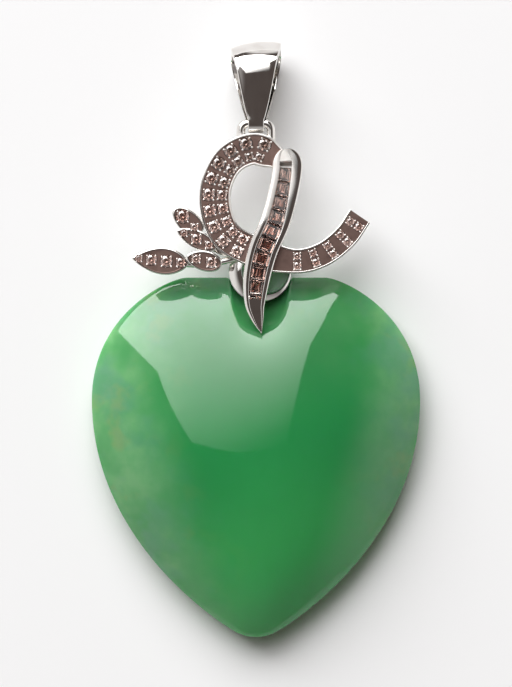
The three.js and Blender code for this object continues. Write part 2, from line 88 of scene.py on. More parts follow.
def in_mm(point):
    """A point of the shared frame in millimetres from the heart's tip."""
    return Vector((point.x, point.y - heart_low.y, point.z)) / MM


def mix(a, b, share):
    return a + (b - a) * share


def ease(start, end, value):
    share = min(1.0, max(0.0, (value - start) / (end - start)))
    return share * share * (3 - 2 * share)


def corner(middle, radius, start, end, steps):
    """Points of a rounded corner, with its angles in degrees."""
    made = []
    for i in range(steps + 1):
        angle = math.radians(mix(start, end, i / steps))
        made.append((middle[0] + radius * math.cos(angle), middle[1] + radius * math.sin(angle)))
    return made


def new_object(name, mesh, finishes):
    for finish in finishes:
        mesh.materials.append(finish)
    piece = bpy.data.objects.new(name, mesh)
    bpy.context.collection.objects.link(piece)
    return piece


def mesh_from(name, points, faces):
    mesh = bpy.data.meshes.new(name)
    mesh.from_pydata([tuple(p) for p in points], [], faces)
    shape = bmesh.new()
    shape.from_mesh(mesh)
    bmesh.ops.recalc_face_normals(shape, faces=shape.faces)
    shape.to_mesh(mesh)
    shape.free()
    return mesh


def loft(name, rings, closed=False):
    """A skin over rings of points. An open one is closed with a face at each end."""
    size = len(rings[0])
    points = [p for ring in rings for p in ring]
    faces = []
    for i in range(len(rings) if closed else len(rings) - 1):
        here, there = i * size, (i + 1) % len(rings) * size
        for j in range(size):
            k = (j + 1) % size
            faces.append((here + j, here + k, there + k, there + j))
    if not closed:
        last = (len(rings) - 1) * size
        faces.append(tuple(range(size)))
        faces.append(tuple(last + j for j in reversed(range(size))))
    return mesh_from(name, points, faces)


def lathe(name, profile, sides):
    """A turned form about the z axis. The profile runs from the axis to the axis."""
    rings = profile[1:-1]
    points = [(0, 0, profile[0][1])]
    for radius, height in rings:
        for j in range(sides):
            angle = 2 * math.pi * j / sides
            points.append((radius * math.cos(angle), radius * math.sin(angle), height))
    points.append((0, 0, profile[-1][1]))
    faces = []
    for j in range(sides):
        k = (j + 1) % sides
        faces.append((0, 1 + k, 1 + j))
        for i in range(len(rings) - 1):
            low, high = 1 + i * sides, 1 + (i + 1) * sides
            faces.append((low + j, low + k, high + k, high + j))
        top = 1 + (len(rings) - 1) * sides
        faces.append((len(points) - 1, top + j, top + k))
    return mesh_from(name, points, faces)


print("the heart's box:", [round(v / MM, 2) for v in heart_high - heart_low], "mm")

# %% Joining and carving
def as_mesh(name, shape):
    """The mesh of a bmesh, which is freed."""
    mesh = bpy.data.meshes.new(name)
    shape.to_mesh(mesh)
    shape.free()
    return mesh


def joined_meshes(name, meshes):
    """Several meshes as one, each kept as it is."""
    shape = bmesh.new()
    for mesh in meshes:
        shape.from_mesh(mesh)
    return as_mesh(name, shape)


def boolean(mesh, tool, operation):
    """The mesh after one boolean with a tool mesh. Faces that the tool leaves keep its slot."""
    body = bpy.data.objects.new("body", mesh)
    cutter = bpy.data.objects.new("cutter", tool)
    for piece in (body, cutter):
        bpy.context.collection.objects.link(piece)
    step = body.modifiers.new("boolean", "BOOLEAN")
    step.object = cutter
    step.operation = operation
    step.solver = "MANIFOLD"
    graph = bpy.context.evaluated_depsgraph_get()
    result = bpy.data.meshes.new_from_object(body.evaluated_get(graph), depsgraph=graph)
    for piece in (body, cutter):
        bpy.data.objects.remove(piece)
    return result


def tagged(mesh, slot):
    for face in mesh.polygons:
        face.material_index = slot
    return mesh


def smooth_by_angle(mesh, degrees):
    for face in mesh.polygons:
        face.use_smooth = True
    mesh.set_sharp_from_angle(angle=math.radians(degrees))


def set_in_place(piece, *nodes):
    """Moves the finished mesh into the shared frame, where it stands for its nodes."""
    piece.data.transform(TO_FRAME)
    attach(piece, "root")
    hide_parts(*nodes)
    return piece


# %% [markdown]
# ## Camera, table and light
#
# The picture is a catalogue plate: a long lens straight above a white table, and one large softbox that
# leans over the set from behind. Polished stones and metal show nothing but their surroundings, so the
# softbox is a real panel and its outline is the pale patch on the heart. The rest of the studio is dark
# and warm, which gives the metal its dark brown sides, and a white card on each side shows only in
# reflections. A point lamp would light the table as well, but it would leave only dots on the stone.

# %% Camera
LENS = 200
SENSOR = 36
FRAME_HEIGHT = 51.0 * MM  # of table that the picture's long side covers
CAMERA_SHIFT = -0.3 * MM
camera_data = bpy.data.cameras.new("camera")
camera_data.lens = LENS
camera_data.sensor_width = SENSOR
camera = bpy.data.objects.new("camera", camera_data)
camera.location = (0, CAMERA_SHIFT, FRAME_HEIGHT * LENS / SENSOR)
bpy.context.collection.objects.link(camera)
bpy.context.scene.camera = camera
bpy.context.scene.view_settings.view_transform = "Standard"
print("camera height:", round(camera.location.z, 3), "m")


# %% Node helpers
def node(tree, kind, **values):
    """A node with its inputs set by name, and its settings by keyword."""
    made = tree.nodes.new(kind)
    for name, value in values.items():
        if hasattr(made, name):
            setattr(made, name, value)
        else:
            made.inputs[name.replace("_", " ")].default_value = value
    return made


def link(tree, source, output, target, entry):
    tree.links.new(source.outputs[output], target.inputs[entry])


def cleared(owner):
    """The empty node tree of a new material or world."""
    owner.use_nodes = True
    owner.node_tree.nodes.clear()
    return owner.node_tree


# %% Table and softbox
def toward(tilt, azimuth):
    """A direction that leans by tilt from straight up towards azimuth, where 0 is +X and 90 is +Y."""
    lean, turn = math.radians(tilt), math.radians(azimuth)
    return Vector((math.sin(lean) * math.cos(turn), math.sin(lean) * math.sin(turn), math.cos(lean)))


FADE_SHARE = 0.8  # of the panel's height over which it fades


def light_panel(name, corners, distance, strength, fade):
    """A flat glowing panel with its corners in the given (tilt, azimuth) directions. It is weakest where
    it is highest."""
    directions = [toward(*corner) for corner in corners]
    facing = sum(directions, Vector()).normalized()
    points = [d * (distance / d.dot(facing)) for d in directions]
    mesh = bpy.data.meshes.new(name)
    mesh.from_pydata(points, [], [tuple(range(len(points)))])
    glow = bpy.data.materials.new(name)
    tree = cleared(glow)
    low, high = min(p.z for p in points), max(p.z for p in points)
    output = node(tree, "ShaderNodeOutputMaterial")
    emission = node(tree, "ShaderNodeEmission")
    place = node(tree, "ShaderNodeNewGeometry")
    split = node(tree, "ShaderNodeSeparateXYZ")
    ramp = node(
        tree, "ShaderNodeMapRange", interpolation_type="SMOOTHSTEP",
        From_Min=high, From_Max=mix(high, low, FADE_SHARE), To_Min=strength * (1 - fade), To_Max=strength,
    )
    link(tree, place, "Position", split, "Vector")
    link(tree, split, "Z", ramp, "Value")
    link(tree, ramp, "Result", emission, "Strength")
    link(tree, emission, "Emission", output, "Surface")
    new_object(name, mesh, [glow])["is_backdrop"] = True


TABLE_HALF = 2.0
PAPER = (0.95, 0.95, 0.955)


def plain_table():
    half = TABLE_HALF
    places = [(-half, -half, 0), (half, -half, 0), (half, half, 0), (-half, half, 0)]
    mesh = bpy.data.meshes.new("table")
    mesh.from_pydata(places, [], [(0, 1, 2, 3)])
    paper = bpy.data.materials.new("white_paper")
    paper.use_nodes = True
    shader = paper.node_tree.nodes["Principled BSDF"]
    shader.inputs["Base Color"].default_value = (*PAPER, 1)
    shader.inputs["Roughness"].default_value = 0.9
    shader.inputs["Specular IOR Level"].default_value = 0.1
    new_object("table", mesh, [paper])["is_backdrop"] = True


plain_table()
SOFTBOX = [(27, 178), (13.5, 26), (36.5, 72), (63, 65), (76, 118), (74, 146), (40, 147)]
SOFTBOX_DISTANCE = 1.2
SOFTBOX_STRENGTH = 6.8
SOFTBOX_FADE = 0.98
light_panel("softbox", SOFTBOX, SOFTBOX_DISTANCE, SOFTBOX_STRENGTH, SOFTBOX_FADE)
print("softbox corners (tilt, azimuth):", SOFTBOX)


# %% Room
def room(seen, glow, cards):
    """Pale where the camera looks past the table, otherwise dark and warm. Polished things also mirror a
    white card on each side, given as (axis, sign, start, full, strength). The cards light nothing."""
    world = bpy.data.worlds.new("room")
    bpy.context.scene.world = world
    tree = cleared(world)
    place = node(tree, "ShaderNodeTexCoord")
    split = node(tree, "ShaderNodeSeparateXYZ")
    link(tree, place, "Generated", split, "Vector")
    total = node(tree, "ShaderNodeValue").outputs[0]
    total.default_value = 0.0
    for axis, sign, start, full, strength in cards:
        card = node(
            tree, "ShaderNodeMapRange", interpolation_type="SMOOTHSTEP",
            From_Min=sign * start, From_Max=sign * full, To_Max=strength,
        )
        both = node(tree, "ShaderNodeMath", operation="ADD")
        link(tree, split, axis, card, "Value")
        tree.links.new(total, both.inputs[0])
        link(tree, card, "Result", both, 1)
        total = both.outputs["Value"]
    path = node(tree, "ShaderNodeLightPath")
    only = node(tree, "ShaderNodeMath", operation="MULTIPLY")
    dark = node(tree, "ShaderNodeBackground", Color=(*glow, 1))
    white = node(tree, "ShaderNodeBackground")
    mirrored = node(tree, "ShaderNodeAddShader")
    pale = node(tree, "ShaderNodeBackground", Color=(*seen, 1))
    switch = node(tree, "ShaderNodeMixShader")
    output = node(tree, "ShaderNodeOutputWorld")
    tree.links.new(total, only.inputs[0])
    link(tree, path, "Is Glossy Ray", only, 1)
    link(tree, only, "Value", white, "Strength")
    link(tree, dark, 0, mirrored, 0)
    link(tree, white, 0, mirrored, 1)
    link(tree, path, "Is Camera Ray", switch, 0)
    link(tree, mirrored, 0, switch, 1)
    link(tree, pale, 0, switch, 2)
    link(tree, switch, 0, output, "Surface")


CARDS = [
    ("X", -1, 0.45, 0.8, 1.0),
    ("X", 1, 0.55, 0.9, 1.2),
    ("Y", -1, 0.5, 0.95, 0.5),
    ("Y", 1, 0.93, 0.98, 1.0),
]
room(seen=(0.9, 0.9, 0.92), glow=(0.085, 0.07, 0.065), cards=CARDS)
print("cards:", len(CARDS))

# %% [markdown]
# ## Finishes
#
# Polished things that are worn show it as faint hairlines, which scatter the light a little. Jade, gold
# and the metal round the stones all have them, so the hairlines are one node group with its own scale and
# amount in each material. A group gives only a roughness and a height. The shader stays in the material.


# %% Node groups
def new_group(name, entries, outcomes):
    """An empty node group with named inputs and outputs."""
    tree = bpy.data.node_groups.new(name, "ShaderNodeTree")
    for label, value in entries:
        socket = tree.interface.new_socket(name=label, in_out="INPUT", socket_type="NodeSocketFloat")
        socket.default_value = value
    for label in outcomes:
        tree.interface.new_socket(name=label, in_out="OUTPUT", socket_type="NodeSocketFloat")
    return tree, tree.nodes.new("NodeGroupInput"), tree.nodes.new("NodeGroupOutput")


def placed_group(tree, group, **values):
    made = tree.nodes.new("ShaderNodeGroup")
    made.node_tree = group
    for name, value in values.items():
        made.inputs[name.replace("_", " ")].default_value = value
    return made


# %% The shared hairline group
HAIRLINE_TURNS = (0.4, 1.7, 2.6)  # directions of the lines, in radians
HAIRLINE_HAZE = 0.12


def hairline_group():
    tree, entry, outcome = new_group(
        "hairlines",
        [("Scale", 900.0), ("Amount", 0.5), ("Polish", 0.1)],
        ["Roughness", "Height"],
    )
    place = node(tree, "ShaderNodeTexCoord")
    amount = node(tree, "ShaderNodeMath", operation="MULTIPLY")
    total = None
    for turn in HAIRLINE_TURNS:
        turned = node(tree, "ShaderNodeMapping", Rotation=(0, 0, turn), Scale=(1, 0.04, 1))
        noise = node(tree, "ShaderNodeTexNoise", Detail=2.0, Roughness=0.5)
        thin = node(tree, "ShaderNodeMapRange", From_Min=0.62, From_Max=0.72)
        link(tree, place, "Object", turned, "Vector")
        link(tree, turned, "Vector", noise, "Vector")
        link(tree, entry, "Scale", noise, "Scale")
        link(tree, noise, "Fac", thin, "Value")
        if total:
            both = node(tree, "ShaderNodeMath", operation="ADD")
            tree.links.new(total, both.inputs[0])
            link(tree, thin, "Result", both, 1)
        total = both.outputs["Value"] if total else thin.outputs["Result"]
    tree.links.new(total, amount.inputs[0])
    link(tree, entry, "Amount", amount, 1)
    rough = node(tree, "ShaderNodeMath", operation="MULTIPLY_ADD")
    rough.inputs[1].default_value = HAIRLINE_HAZE
    link(tree, amount, "Value", rough, 0)
    link(tree, entry, "Polish", rough, 2)
    link(tree, rough, "Value", outcome, "Roughness")
    link(tree, amount, "Value", outcome, "Height")
    return tree


HAIRLINES = hairline_group()


# %% [markdown]
# Jade is a felt of tiny grains, so its green gathers in soft clouds of several sizes. The real stone is
# deep green where it is thick and pure, paler and a little yellow or blue towards its sides. A picture of
# the stone would carry its highlights along, so the clouds are noise in four sizes. Over them lie zones
# with soft edges: the deep middle, a lighter lower half that is painted light, a darker top that is
# painted shade, and a pale lug that is painted light where the collar and the strand shade it.
# Light passes a little way into jade, which subsurface scattering gives, and the polish is a sharp
# reflection on top.


# %% Jade
def colour_between(tree, low, high):
    """A colour mix node between two fixed colours."""
    blend = tree.nodes.new("ShaderNodeMix")
    blend.data_type = "RGBA"
    if low:
        blend.inputs["A"].default_value = (*low, 1)
    if high:
        blend.inputs["B"].default_value = (*high, 1)
    return blend


def laid_over(tree, below, colour, mask, amount=1.0):
    """A fixed colour over what is below, as far as its mask and the amount let it."""
    part = node(tree, "ShaderNodeMath", operation="MULTIPLY")
    part.inputs[1].default_value = amount
    blend = colour_between(tree, None, colour)
    link(tree, mask, "Result", part, 0)
    link(tree, below, "Result", blend, "A")
    link(tree, part, "Value", blend, "Factor")
    return blend


def new_finish(name):
    material = bpy.data.materials.new(name)
    material.use_nodes = True
    tree = material.node_tree
    return material, tree, tree.nodes["Principled BSDF"], node(tree, "ShaderNodeTexCoord")


def worn(tree, shader, strength, distance, **values):
    """Hairlines in the roughness and as a faint bump. Gives back the hairline node."""
    wear = placed_group(tree, HAIRLINES, **values)
    bump = node(tree, "ShaderNodeBump", Strength=strength, Distance=distance)
    link(tree, wear, "Roughness", shader, "Roughness")
    link(tree, wear, "Height", bump, "Height")
    link(tree, bump, "Normal", shader, "Normal")
    return wear


DEEP_GREEN = (0.020, 0.265, 0.070)
MIDDLE_GREEN = (0.055, 0.330, 0.090)
# painted light: a pale green for the lug, which the collar and the strand shade
PAINTED_LIGHT_LUG_GREEN = (0.400, 0.800, 0.480)
# painted light: a lighter green for the lower half of the heart, which the softbox hardly reaches
PAINTED_LIGHT_LOW_GREEN = (0.050, 0.440, 0.115)
# painted shade: a darker green for the top of the heart, which the softbox lights most
PAINTED_SHADE_TOP_GREEN = (0.050, 0.210, 0.075)
PALE_GREEN = (0.190, 0.460, 0.190)
BLUE_GREEN = (0.120, 0.350, 0.190)
HONEY = (0.270, 0.360, 0.110)


def clouds(tree, place, scale, low, high, detail=3.0, shift=(0, 0, 0)):
    """Soft noise between 0 and 1, with its size as places per metre."""
    moved = node(tree, "ShaderNodeMapping", Location=shift)
    noise = node(tree, "ShaderNodeTexNoise", Scale=scale, Detail=detail, Roughness=0.55)
    part = node(tree, "ShaderNodeMapRange", From_Min=low, From_Max=high)
    part.interpolation_type = "SMOOTHSTEP"
    link(tree, place, "Object", moved, "Vector")
    link(tree, moved, "Vector", noise, "Vector")
    link(tree, noise, "Fac", part, "Value")
    return part


def nearness(tree, place, middle, reach, core):
    """1 near a place of the stone, 0 beyond its reach, in metres."""
    apart = node(tree, "ShaderNodeVectorMath", operation="DISTANCE")
    apart.inputs[1].default_value = middle
    part = node(tree, "ShaderNodeMapRange", From_Min=core, From_Max=reach, To_Min=1.0, To_Max=0.0)
    part.interpolation_type = "SMOOTHSTEP"
    link(tree, place, "Object", apart, 0)
    link(tree, apart, "Value", part, "Value")
    return part


def polished_jade():
    material, tree, shader, place = new_finish("polished_jade")
    broad = clouds(tree, place, 170.0, 0.36, 0.64)
    fine = clouds(tree, place, 620.0, 0.35, 0.68, detail=5.0, shift=(3.1, 0.4, 1.7))
    bluish = clouds(tree, place, 240.0, 0.46, 0.66, shift=(0.7, 5.2, 2.1))
    warm = clouds(tree, place, 330.0, 0.56, 0.72, shift=(9.3, 1.6, 4.2))
    deep = nearness(tree, place, (0.0012, -0.0070, 0.004), 0.0140, 0.0050)
    # painted light: the lower half of the heart is lightened where the softbox leaves it dim
    low = nearness(tree, place, (0.0035, -0.0185, 0.003), 0.0125, 0.0030)
    # painted shade: the top of the heart is darkened to offset the softbox, which lights it more than the
    # rest
    high = nearness(tree, place, (0.0, 0.0050, 0.003), 0.0130, 0.0060)
    # painted light: the lug in the collar is made pale to offset the shade of the collar and the strand
    painted_light_at_lug = nearness(tree, place, (0.0007, 0.0051, 0.003), 0.0022, 0.0016)

    stone = colour_between(tree, MIDDLE_GREEN, PALE_GREEN)
    link(tree, broad, "Result", stone, "Factor")
    for colour, mask, amount in (
        (BLUE_GREEN, bluish, 1.0),
        (MIDDLE_GREEN, fine, 0.35),
        (HONEY, warm, 0.45),
        (DEEP_GREEN, deep, 1.0),
        (PAINTED_LIGHT_LOW_GREEN, low, 1.0),
        (PAINTED_SHADE_TOP_GREEN, high, 0.6),
        (PAINTED_LIGHT_LUG_GREEN, painted_light_at_lug, 1.0),
    ):
        stone = laid_over(tree, stone, colour, mask, amount)
    link(tree, stone, "Result", shader, "Base Color")

    worn(tree, shader, 0.03, 0.00002, Scale=420.0, Amount=0.10, Polish=0.045)
    shader.inputs["IOR"].default_value = 1.66
    shader.inputs["Specular IOR Level"].default_value = 0.42
    shader.inputs["Subsurface Weight"].default_value = 0.6
    shader.inputs["Subsurface Radius"].default_value = (0.4, 1.0, 0.5)
    shader.inputs["Subsurface Scale"].default_value = 0.004
    return material


JADE = polished_jade()
print("jade nodes:", len(JADE.node_tree.nodes))


# %% [markdown]
# White gold is a warm pale grey metal. One Principled shader with Metallic at 1 gives it, and the hairline
# group keeps it from looking like chrome. The metal down in the settings has its own darker brown finish
# with more haze, which is painted shade for the recesses round the stones. The diamonds are see-through by
# plain values on the shader: full transmission, the high refraction of diamond, and a brown-pink tint that
# is a painted reflection of the dark room and the metal round them. The rail and the head of the strand's
# upper half are brushed, so they look white.


# %% White gold, settings and diamond
SATIN = 0.38  # roughness that brushing adds
FILM = 0.5  # share of the darker shade where the film is thickest


def metal(name, colour, shade, amount, polish, scale, brushed=None):
    """Polished metal, brushed round one place if it is given, as (place, reach, core) in metres."""
    material, tree, shader, place = new_finish(name)
    film = clouds(tree, place, 900.0, 0.42, 0.72)
    tint = colour_between(tree, colour, shade)
    part = node(tree, "ShaderNodeMath", operation="MULTIPLY")
    part.inputs[1].default_value = FILM
    link(tree, film, "Result", part, 0)
    link(tree, part, "Value", tint, "Factor")
    link(tree, tint, "Result", shader, "Base Color")
    wear = worn(tree, shader, 0.05, 0.00001, Scale=scale, Amount=amount, Polish=polish)
    if brushed:
        around = nearness(tree, place, *brushed)
        satin = node(tree, "ShaderNodeMath", operation="MULTIPLY_ADD")
        satin.inputs[1].default_value = SATIN
        link(tree, around, "Result", satin, 0)
        link(tree, wear, "Roughness", satin, 2)
        link(tree, satin, "Value", shader, "Roughness")
    shader.inputs["Metallic"].default_value = 1.0
    return material


def clear_diamond():
    """Clear, with a brown-pink tint that is a painted reflection of the dark room and the metal round the
    stones, and painted shade that makes the stones at the top of the loop browner.
    """
    material, tree, shader, place = new_finish("clear_diamond")
    lots = clouds(tree, place, 500.0, 0.3, 0.7)
    # painted reflection: the brown-pink tint stands in for the dark room and the metal that the stones
    # reflect
    tint = colour_between(tree, (0.66, 0.37, 0.30), (0.86, 0.60, 0.52))
    link(tree, lots, "Result", tint, "Factor")
    # painted shade: the stones at the top of the loop are made darker and browner
    above = nearness(tree, place, (-0.0005, 0.0134, 0.004), 0.0045, 0.002)
    shaded_loop_top_tint = laid_over(tree, tint, (0.42, 0.27, 0.22), above)
    link(tree, shaded_loop_top_tint, "Result", shader, "Base Color")
    shader.inputs["Roughness"].default_value = 0.0
    shader.inputs["IOR"].default_value = 2.42
    shader.inputs["Transmission Weight"].default_value = 1.0
    return material


BRUSHED = ((-0.0005, 0.0118, 0.0045), 0.0037, 0.0031)
WHITE_GOLD = metal(
    "polished_white_gold", (0.84, 0.815, 0.785), (0.72, 0.68, 0.64), 0.35, 0.07, 1300.0, BRUSHED,
)
# painted shade: a dark brown metal for the seats and the sunk floors round the stones
SHADED_SETTING = metal("shaded_setting", (0.27, 0.180, 0.155), (0.12, 0.072, 0.060), 0.6, 0.36, 1900.0)
DIAMOND = clear_diamond()
print("finishes:", [m.name for m in (JADE, WHITE_GOLD, SHADED_SETTING, DIAMOND)])

# %% [markdown]
# ## The jade heart
#
# The cutter grinds a heart with a flat back, an upright edge and a dome that runs out evenly to it. A
# subdivision surface would round the outline away, so the dome is made of rings: each is the outline drawn
# in towards the middle, lifted by one profile. If every ring kept the outline's shape, the tip would send
# a sharp ridge up to the middle. So the rings are smoothed more and more on the way in, as polishing does.

# %% Outline of the heart
HEART_WIDTH = (heart_high.x - heart_low.x) / MM
HEART_HEIGHT = 26.5
HEART_THICKNESS = heart_high.z / MM
GIRDLE_TOP = 2.0
BACK_ROUND = 1.0
CLEFT_LIP = 0.4
CLEFT_FADE = 0.5
COLLAR_RADIUS = 2.28
COLLAR_OFFSET = 0.3
COLLAR_RISE = 0.5
SEAT_GAP = 0.06
COLLAR_Y = HEART_HEIGHT + COLLAR_RISE


def bezier(points, steps):
    """Points of a Bezier curve of any degree, without its last one."""
    made = []
    for i in range(steps):
        level = [Vector(p) for p in points]
        while len(level) > 1:
            level = [a.lerp(b, i / steps) for a, b in zip(level, level[1:])]
        made.append(level[0])
    return made


def heart_outline(steps):
    """The outline from the left of the tip round by the right, drawn as the construction draws it."""
    half = HEART_WIDTH / 2
    widest = 0.659 * HEART_HEIGHT
    shoulder = 0.42 * half
    tip_width = 0.107 * half
    tip_rise = 0.0106 * HEART_HEIGHT
    radius = COLLAR_RADIUS + SEAT_GAP
    lip_angle = -math.asin(COLLAR_RISE / radius) - CLEFT_LIP / radius

    def on_arc(angle):
        return Vector((COLLAR_OFFSET + radius * math.cos(angle), COLLAR_Y + radius * math.sin(angle)))

    def flank(sign):
        low = [(tip_width, tip_rise), (1.53 * tip_width, 2.04 * tip_rise),
               (half, widest - 0.406 * HEART_HEIGHT), (half, widest)]
        high = [(half, widest), (half, widest + 0.245 * HEART_HEIGHT),
                (shoulder + 0.1 * half, HEART_HEIGHT), (shoulder, HEART_HEIGHT)]
        return [[(sign * x, y) for x, y in curve] for curve in (low, high)]

    def lip(angle, outward):
        edge = Vector((on_arc(angle).x + outward * CLEFT_LIP, HEART_HEIGHT))
        return [edge, Vector((on_arc(angle).x, HEART_HEIGHT)), on_arc(angle)]

    right_low, right_high = flank(1)
    left_low, left_high = flank(-1)
    right_lip = lip(lip_angle, 1)
    left_lip = lip(-math.pi - lip_angle, -1)
    tip = [(-tip_width, tip_rise), (0, -tip_rise), (tip_width, tip_rise)]
    arc = [on_arc(mix(lip_angle, -math.pi - lip_angle, i / steps)) for i in range(steps)]
    return [
        *bezier(tip, steps),
        *bezier(right_low, 4 * steps),
        *bezier(right_high, 4 * steps),
        *bezier([right_high[-1], right_lip[0]], steps),
        *bezier(right_lip, steps),
        *arc,
        *bezier(left_lip[::-1], steps),
        *bezier([left_lip[0], left_high[-1]], steps),
        *bezier(left_high[::-1], 4 * steps),
        *bezier(left_low[::-1], 4 * steps),
    ]


def evenly(points, count):
    """The closed line through the points, in steps of one length."""
    line = np.array([tuple(p) for p in points] + [tuple(points[0])])
    lengths = np.hypot(*np.diff(line, axis=0).T)
    place = np.concatenate([[0], np.cumsum(lengths)])
    wanted = np.linspace(0, place[-1], count, endpoint=False)
    return np.stack([np.interp(wanted, place, line[:, k]) for k in (0, 1)], axis=1), place[-1]


AROUND = 540
outline, outline_length = evenly(heart_outline(24), AROUND)
print("outline:", AROUND, "points,", round(outline_length, 1), "mm round")


# %% Rings of the heart
def softened(line, reach):
    """A closed line with its corners eased over a reach in millimetres."""
    wave = np.fft.fft(line[:, 0] + 1j * line[:, 1])
    turns = np.fft.fftfreq(len(line), 1 / len(line))
    kept = np.exp(-0.5 * (2 * math.pi * turns * reach / outline_length) ** 2)
    eased = np.fft.ifft(wave * kept)
    return np.stack([eased.real, eased.imag], axis=1)


HEART_MIDDLE = np.array([0, 0.46 * HEART_HEIGHT])
NEAR_CLEFT = COLLAR_RADIUS + SEAT_GAP + 1.5 * CLEFT_LIP
SOFTEST = 6.5
DOME_SWELL = 2.1
DOME_EDGE = 0.88
DOME_STEPS = 64
EDGE_ROUND = 5


def heart_ring(share, height):
    line = outline.copy()
    dent = ease(CLEFT_FADE, 1, share)
    in_cleft = (np.abs(line[:, 0] - COLLAR_OFFSET) < NEAR_CLEFT) & (line[:, 1] > HEART_MIDDLE[1])
    line[in_cleft, 1] = mix(HEART_HEIGHT, line[in_cleft, 1], dent)
    reach = SOFTEST * (1 - ease(0.15, 1, share))
    if reach > 0:
        line = softened(line, reach)
    line = HEART_MIDDLE + (line - HEART_MIDDLE) * share
    return [(x, y, height) for x, y in line]


def heart_mesh():
    half = HEART_HEIGHT / 2
    rings = [heart_ring(0.3, 0), heart_ring(0.7, 0)]
    for i in range(EDGE_ROUND + 1):
        angle = math.pi / 2 * i / EDGE_ROUND
        inset = BACK_ROUND * (1 - math.sin(angle))
        rings.append(heart_ring(1 - inset / half, BACK_ROUND * (1 - math.cos(angle))))
    rings.append(heart_ring(1, GIRDLE_TOP))
    for i in range(1, DOME_STEPS):
        share = math.cos(math.pi / 2 * i / DOME_STEPS)
        height = (1 - share ** DOME_SWELL) ** DOME_EDGE
        rings.append(heart_ring(share, mix(GIRDLE_TOP, HEART_THICKNESS, height)))
    return loft("jade_heart_polished", rings)


# %% Lug of the heart
SURMOUNT_BOTTOM = 3.2
COLLAR_HOLE = 1.8
COLLAR_SHIFT = 0.42
BRIDGE_WIDTH = 2.4
BRIDGE_HEIGHT = 1.3
LUG_ROUND = 0.3


def lug_mesh():
    """The low round lug that stands in the collar's opening, polished over its edge."""
    radius = COLLAR_HOLE - SEAT_GAP
    top = SURMOUNT_BOTTOM - SEAT_GAP
    edge = corner((radius - LUG_ROUND, top - LUG_ROUND), LUG_ROUND, 0, 90, 6)
    mesh = lathe("lug", [(0, 0), (radius, 0), *edge, (0, top)], 96)
    mesh.transform(Matrix.Translation((COLLAR_OFFSET + COLLAR_SHIFT, COLLAR_Y, 0)))
    return mesh


def bridge_mesh():
    """The jade under the collar that joins the lug to the heart."""
    reach = COLLAR_RADIUS + SEAT_GAP + BACK_ROUND + 0.1
    half = BRIDGE_WIDTH / 2
    places = [(-half, 0), (half, 0), (half, reach), (-half, reach)]
    rings = [[(COLLAR_OFFSET + x, COLLAR_Y - y, z) for x, y in places] for z in (0, BRIDGE_HEIGHT)]
    return loft("bridge", rings)


jade_mesh = heart_mesh()
smooth_by_angle(jade_mesh, 50)
face_of_heart = BVHTree.FromPolygons(
    [v.co for v in jade_mesh.vertices],
    [tuple(f.vertices) for f in jade_mesh.polygons],
)


def height_of_heart(x, y):
    """Height of the heart's face at a place, or 0 beside it."""
    hit = face_of_heart.ray_cast(Vector((x, y, 4 * HEART_THICKNESS)), Vector((0, 0, -1)))
    return hit[0].z if hit[0] else 0


for part in (lug_mesh(), bridge_mesh()):
    jade_mesh = boolean(jade_mesh, part, "UNION")
jade_mesh = joined_meshes("jade_heart_polished", [jade_mesh])
smooth_by_angle(jade_mesh, 50)
jade_heart = set_in_place(new_object("jade_heart_polished", jade_mesh, [JADE]), "jade_heart")
print("heart faces:", len(jade_mesh.polygons))

# %% [markdown]
# ## Routes
#
# Ribbon and strand are strips of metal carried along a line, so each is a section swept along a route.
# The route is a smooth curve through a few chosen points, the same ones as in the construction. Blender's
# own curves could bevel it, but a section of one's own can change its width, rails and floor on the way.


# %% A route through chosen points
class Route:
    """A smooth curve in the plane, read by the share of its length."""

    def __init__(self, points, fineness=60):
        places = [Vector(p) for p in points]
        places = [2 * places[0] - places[1], *places, 2 * places[-1] - places[-2]]
        dense = []
        for a, b, c, d in zip(places, places[1:], places[2:], places[3:]):
            for i in range(fineness):
                dense.append(self.between(a, b, c, d, i / fineness))
        dense.append(places[-2])
        self.line = np.array([tuple(p) for p in dense])
        steps = np.hypot(*np.diff(self.line, axis=0).T)
        self.place = np.concatenate([[0], np.cumsum(steps)])
        self.length = self.place[-1]

    @staticmethod
    def between(a, b, c, d, share):
        """A point between b and c, with knots spaced by the root of their distances."""
        gaps = [math.sqrt((q - p).length) for p, q in ((a, b), (b, c), (c, d))]
        leave = (b - a) / gaps[0] - (c - a) / (gaps[0] + gaps[1]) + (c - b) / gaps[1]
        arrive = (c - b) / gaps[1] - (d - b) / (gaps[1] + gaps[2]) + (d - c) / gaps[2]
        leave, arrive = leave * gaps[1], arrive * gaps[1]
        t, t2, t3 = share, share ** 2, share ** 3
        return (b * (2 * t3 - 3 * t2 + 1) + leave * (t3 - 2 * t2 + t)
                + c * (3 * t2 - 2 * t3) + arrive * (t3 - t2))

    def at(self, share):
        wanted = share * self.length
        return Vector([np.interp(wanted, self.place, self.line[:, k]) for k in (0, 1)])

    def across(self, share):
        """The unit vector to the left of the route."""
        step = 0.002
        low, high = max(0, share - step), min(1, share + step)
        along = (self.at(high) - self.at(low)).normalized()
        return Vector((-along.y, along.x))


def raised(points):
    """Points given from the heart's top line."""
    return [(x, HEART_HEIGHT + y) for x, y in points]


